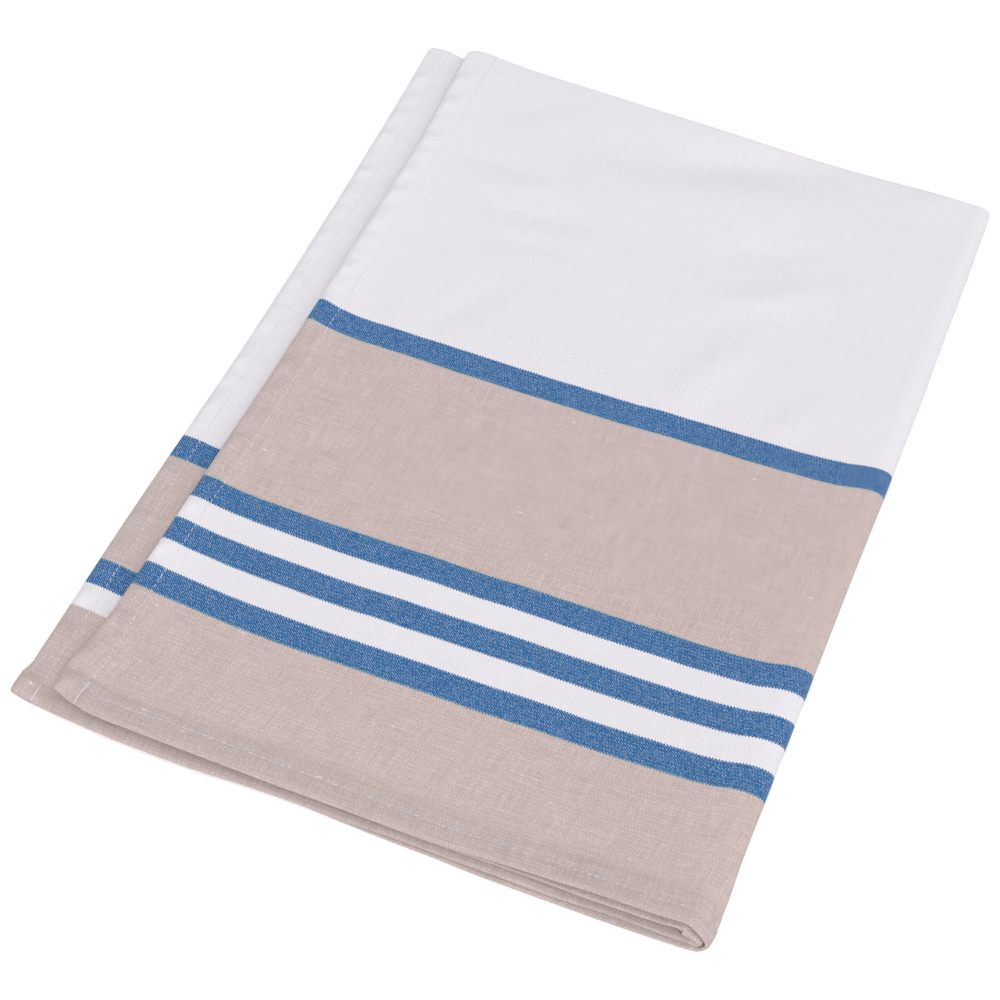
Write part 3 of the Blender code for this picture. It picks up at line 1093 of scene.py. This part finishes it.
# A seam's first stitch is FIRST_STITCH of a pitch in. A locked seam has stitches back within LOCKED_TO
# of its ends. A stitch has sunk in by up to STITCH_SINK, at least END_SEAM_SINK of it in the end seams.
FIRST_STITCH = 0.4
LOCKED_TO = 8.5
STITCH_SINK = 0.10
SINK_VARIES = 0.7
END_SEAM_SINK = 0.3

# A stitch's rings: how far along it in stitch lengths, how high over the cloth in mm, the share of the
# thread's radius there and its painted light, 0 where shade is painted. Both ends are drawn down into the
# needle holes, and painted in shade there.
RINGS = (
    ("along", "height", "fatness", "light"),
    (-0.50, -0.16, 0.55, 0.0),
    (-0.28, 0.04, 0.95, 1.0),
    (0.00, 0.10, 1.00, 1.0),
    (0.28, 0.04, 0.95, 1.0),
    (0.50, -0.16, 0.55, 0.0),
)

# A sunk stitch is thinner and painted darker, as shade: its share of the radius, what a high one has more,
# and its painted light.
LEAST_RADIUS = 0.9
RADIUS_GAIN = 0.35
LEAST_PAINTED_LIGHT = 0.35

# A seam's line in sheet_point's terms: it starts at a hem's edge or at a side seam and turns just short
# of the fold, with so many points on a straight and round the fold. STRAIGHT_LENGTH and STRAIGHT_WIDTH
# are the way in mm from hem to fold, along the towel and across its upper half, whose left edge lies
# UPPER_INSET in. A point at OVER_FACE is just outside the cloth's face.
SIDE_SEAM_START = 0.0005
END_SEAM_START = 0.043
SEAM_TURN = 0.9999
SIDE_SEAM_POINTS = (1500, 40)
END_SEAM_POINTS = (1200, 120)
STRAIGHT_LENGTH = 349.0
STRAIGHT_WIDTH = 224.0
UPPER_INSET = 20.0
OVER_FACE = 1.3

# The thread's colour runs from a darker one, painted shade at the needle holes and on sunk stitches, to a
# light one on a high stitch's middle.
THREAD_PAINTED_SHADE = "#9A94A0"
THREAD_LIGHT = "#D3CFDA"
THREAD_ROUGHNESS = 0.75
TWIST_SIZE = 0.25
TWIST_BUMP = 0.4
TWIST_DEPTH = 0.08


def along_seam(turn, across, bend, along, locked):
    """Places of the stitches, every STITCH_PITCH along a seam's line, and how deep each has sunk in. A
    locked seam starts and ends with stitches back over the first ones, which lie on top."""
    dense = np.broadcast_arrays(turn, across, bend, along)
    line = sheet_point(*dense, np.ones(len(along)))
    steps = np.linalg.norm(np.diff(line, axis=0), axis=1)
    length = np.concatenate([[0], np.cumsum(steps)])
    at = np.arange(STITCH_PITCH * FIRST_STITCH, length[-1], STITCH_PITCH)
    if locked:
        ends = (at < LOCKED_TO) | (at > length[-1] - LOCKED_TO)
        at = np.sort(np.concatenate([at, at[ends] + STITCH_PITCH / 2]))
    depth = SINK_VARIES * np.random.default_rng(3).random(len(at)) + END_SEAM_SINK * (1 - locked)
    sink = STITCH_SINK * depth
    sink[(at < LOCKED_TO) | (at > length[-1] - LOCKED_TO)] *= 1 - locked
    return [np.interp(at, length, values) for values in dense] + [sink]


def over_a_fold(start, points):
    """A seam's line along one stretch, round a fold and back: how far towards the fold, and the angle
    round it."""
    straight = np.linspace(start, SEAM_TURN, points[0])
    fold = np.linspace(0, np.pi, points[1])[1:-1]
    way = np.concatenate([straight, np.full(len(fold), SEAM_TURN), straight[::-1]])
    angle = np.concatenate([np.zeros(len(straight)), fold, np.full(len(straight), np.pi)])
    return way, angle


def side_seam(lower):
    """A side seam, from the outer end's hem edge over the far fold to the inner end's."""
    along, bend = over_a_fold(SIDE_SEAM_START, SIDE_SEAM_POINTS)
    layer = "third" if lower else "top"
    y = along * STRAIGHT_LENGTH
    inset = read(SIDE_SEAMS, layer, y) - read(LEFT_EDGES, layer, y)
    width = STRAIGHT_WIDTH + UPPER_INSET * lower
    return along_seam(np.pi * lower, inset / width, bend, along, True)


def end_seam(inner):
    """An end seam, from the upper side seam round the right fold to the lower side seam."""
    across, turn = over_a_fold(END_SEAM_START, END_SEAM_POINTS)
    end = "inner" if inner else "outer"
    inset = read(END_SEAM, end, UPPER_INSET + across * STRAIGHT_WIDTH)
    return along_seam(turn, across, np.pi * inner, inset / STRAIGHT_LENGTH, False)


def unit(vectors):
    """The vectors divided by their lengths."""
    return vectors / np.linalg.norm(vectors, axis=1, keepdims=True)


def stitch_mesh(seams):
    """All stitches as one mesh. Each is a short thread of five rings, thick in its middle and arched over
    the cloth. Each point carries a painted light: 1 on a high stitch's middle, less on one that has sunk,
    and 0, painted shade, at a stitch's ends."""
    jitter = np.random.default_rng(7)
    rings = {name: column(RINGS, name) for name in RINGS[0]}
    round_angle = np.arange(STITCH_SIDES) * 2 * np.pi / STITCH_SIDES
    points = []
    lifts = []
    for turn, across, bend, along, sink in seams:
        lift_and_painted_shade = 1 - sink / STITCH_SINK
        for face in (1.0, -1.0):
            on_face = np.full(len(along), face)
            centre = sheet_point(turn, across, bend, along, on_face)
            out = unit(sheet_point(turn, across, bend, along, OVER_FACE * on_face) - centre)
            forward = np.gradient(centre, axis=0)
            forward = unit(forward - (forward * out).sum(1, keepdims=True) * out)
            sideways = np.cross(out, forward)
            slants = STITCH_SLANT + SLANT_VARIES * jitter.standard_normal(len(centre))
            slant = np.radians(slants)[:, None]
            ahead = forward * np.cos(slant) + sideways * np.sin(slant)
            side = sideways * np.cos(slant) - forward * np.sin(slant)
            size = STITCH_LONG * (1 + LONG_VARIES * jitter.standard_normal(len(centre)))
            spine = centre[:, None] + ahead[:, None] * rings["along"][:, None] * size[:, None, None]
            spine = spine + out[:, None] * (rings["height"][:, None] - sink[:, None, None])
            ring = side[:, None, None] * np.cos(round_angle)[:, None]
            ring = ring + out[:, None, None] * np.sin(round_angle)[:, None]
            radius = THREAD_RADIUS * (LEAST_RADIUS + RADIUS_GAIN * lift_and_painted_shade)[:, None] * rings["fatness"]
            points.append((spine[:, :, None] + ring * radius[:, :, None, None]).reshape(-1, 3))
            # Painted shade: the colour darkens on sunk stitches and at a stitch's ends, and is lightest on
            # a high one's middle.
            shown = (LEAST_PAINTED_LIGHT + (1 - LEAST_PAINTED_LIGHT) * lift_and_painted_shade)[:, None] * rings["light"]
            lifts.append(np.repeat(shown.ravel(), STITCH_SIDES))
    points = np.concatenate(points)
    index = np.arange(len(points)).reshape(-1, len(RINGS) - 1, STITCH_SIDES)
    following = np.roll(index, -1, axis=2)
    walls = np.stack([index[:, :-1], following[:, :-1], following[:, 1:], index[:, 1:]], axis=-1)
    faces = walls.reshape(-1, 4).tolist()
    faces += index[:, 0, ::-1].tolist() + index[:, -1].tolist()
    mesh = bpy.data.meshes.new("hem_stitches")
    mesh.from_pydata(placed(points).tolist(), [], faces)
    mesh.attributes.new("lift_and_painted_shade", "FLOAT", "POINT").data.foreach_set("value", np.concatenate(lifts))
    mesh.shade_smooth()
    return mesh


def sewing_thread():
    """Spun sewing thread: soft and matt to the eye. Its colour is painted from dark to light by the
    stitches'
    painted light: painted shade at the ends and on sunk stitches, lighter on a high stitch's middle. A fine
    bump is its twist."""
    material, tree, shader = new_material("spun sewing thread", {"Roughness": THREAD_ROUGHNESS})
    place = add_node(tree, "TexCoord")
    in_mm = add_node(
        tree, "Mapping", {"Scale": (1 / MM, 1 / MM, 1 / MM)}, {"Vector": place.outputs["Object"]}
    )
    twist = add_node(
        tree, "TexNoise", {"Scale": 1 / TWIST_SIZE, "Roughness": NOISE_ROUGHNESS}, {"Vector": in_mm}
    )
    lift_and_painted_shade = add_node(tree, "Attribute", {"attribute_name": "lift_and_painted_shade"})
    thread = add_node(
        tree, "Mix", {"data_type": "RGBA", "A": colour(THREAD_PAINTED_SHADE), "B": colour(THREAD_LIGHT)},
        {"Factor": lift_and_painted_shade.outputs["Fac"]},
    )
    bump = add_node(tree, "Bump", {"Strength": TWIST_BUMP, "Distance": TWIST_DEPTH * MM}, {"Height": twist})
    tree.links.new(find_socket(thread.outputs, "Result"), shader.inputs["Base Color"])
    tree.links.new(bump.outputs["Normal"], shader.inputs["Normal"])
    return material


seams = [side_seam(False), side_seam(True), end_seam(False), end_seam(True)]
stitches = add_object("hem_stitches", stitch_mesh(seams))
stitches.data.materials.append(sewing_thread())
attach(stitches, "root")

# The CAD's box and the visual model's box, side by side.
boxes = {"cad": cad_box, "visual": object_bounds()}
boxes = {name: [[float(x) for x in corner] for corner in box] for name, box in boxes.items()}
